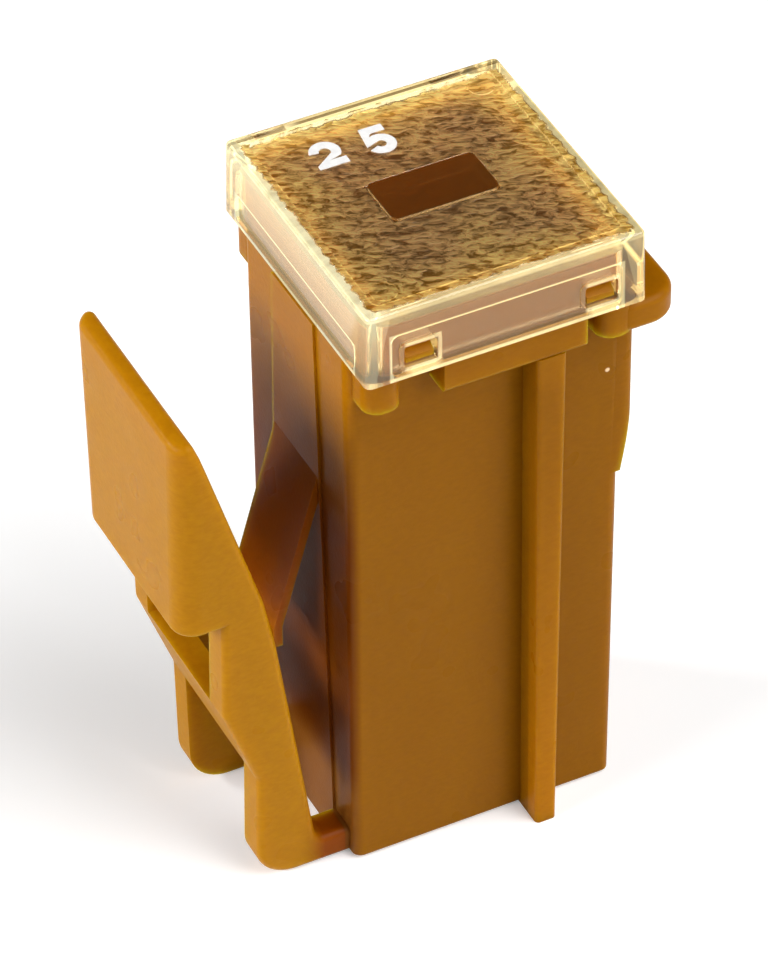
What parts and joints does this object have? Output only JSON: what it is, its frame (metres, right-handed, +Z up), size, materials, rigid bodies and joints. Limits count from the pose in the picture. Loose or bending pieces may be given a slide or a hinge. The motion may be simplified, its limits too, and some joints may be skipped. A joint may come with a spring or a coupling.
{
  "type": "automotive cartridge fuse",
  "caption": "Female cartridge fuse for a vehicle fuse box: ribbed amber housing with a moulded-in latch lever and a clear snap-fit cover.",
  "frame": {"origin": "centre of the housing's flat bottom face", "axes": "+X across the wide face, the latch lever on the -X side; +Y to the back, the keying rib on the -Y face; +Z up, from the terminals to the cover"},
  "size_m": [0.0216, 0.0128, 0.0305],
  "materials": {
    "housing_plastic": "satin, slightly translucent amber nylon",
    "cover_plastic": "clear polycarbonate, lightly grained on top",
    "tinned_alloy": "tin-plated copper alloy strip",
    "pellet_metal": "dull tin"
  },
  "bodies": {
    "root": {"housing": "housing_plastic", "clear_cover": "cover_plastic", "fuse_element": "tinned_alloy", "tin_pellet": "pellet_metal"}
  },
  "joints": []
}
